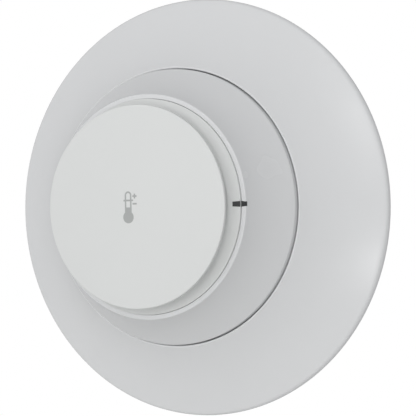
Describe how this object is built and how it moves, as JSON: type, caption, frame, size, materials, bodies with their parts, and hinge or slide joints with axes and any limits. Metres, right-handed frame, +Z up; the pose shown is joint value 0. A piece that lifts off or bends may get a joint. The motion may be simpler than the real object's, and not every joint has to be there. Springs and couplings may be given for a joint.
{
  "type": "wall thermostat",
  "caption": "Round flush wall thermostat: a flared cover ring and centre plate around a turning setting knob, with a steel support ring and an insert for a wall box.",
  "frame": {"origin": "centre of the cover frame on the wall's surface, with the wall as the plane Y = 0", "axes": "+Z up, the front faces -Y, +Y goes into the wall along the knob's axis, +X to the right as seen from the front"},
  "size_m": [0.086, 0.052, 0.086],
  "materials": {
    "shell": "semi-gloss white moulding",
    "knob": "semi-gloss white moulding",
    "mark": "matt dark grey inlay",
    "steel": "zinc-plated",
    "insert": "matt light grey moulding",
    "base": "matt dark grey moulding",
    "board": "solder-mask green",
    "brass": "plain",
    "relay": "satin blue case",
    "component": "satin black",
    "film": "glossy yellow case",
    "varistor": "glossy blue coating",
    "glass": "clear"
  },
  "bodies": {
    "wall_unit": {"cover_frame": "shell", "centre_plate": "shell", "index_mark": "mark", "potentiometer_case": "component", "potentiometer_cover": "steel", "support_ring": "steel", "housing_front": "insert", "housing_rear": "base", "control_board": "board", "power_board": "board", "link_header": "brass", "thermistor": "component", "microcontroller": "component", "relay": "relay", "film_capacitor": "film", "electrolytic_capacitor": "component", "varistor": "varistor", "fuse": "glass", "fuse_clip_1": "steel", "fuse_clip_2": "steel", "cover_screw_1": "steel", "cover_screw_2": "steel", "housing_screw_1": "steel", "terminal_clamp_1": "brass", "terminal_screw_1": "steel", "housing_screw_2": "steel", "terminal_clamp_2": "brass", "terminal_screw_2": "steel", "housing_screw_3": "steel", "terminal_clamp_3": "brass", "terminal_screw_3": "steel", "housing_screw_4": "steel", "terminal_clamp_4": "brass", "terminal_screw_4": "steel"},
    "knob": {"knob_cap": "knob", "knob_skirt": "knob", "pointer_mark": "mark", "potentiometer_shaft": "steel"}
  },
  "joints": [
    {"name": "knob_turn", "type": "hinge", "parent": "wall_unit", "child": "knob", "pos_m": [0, 0, 0], "axis": [0, -1, 0], "range_deg": [-150, 150]}
  ]
}
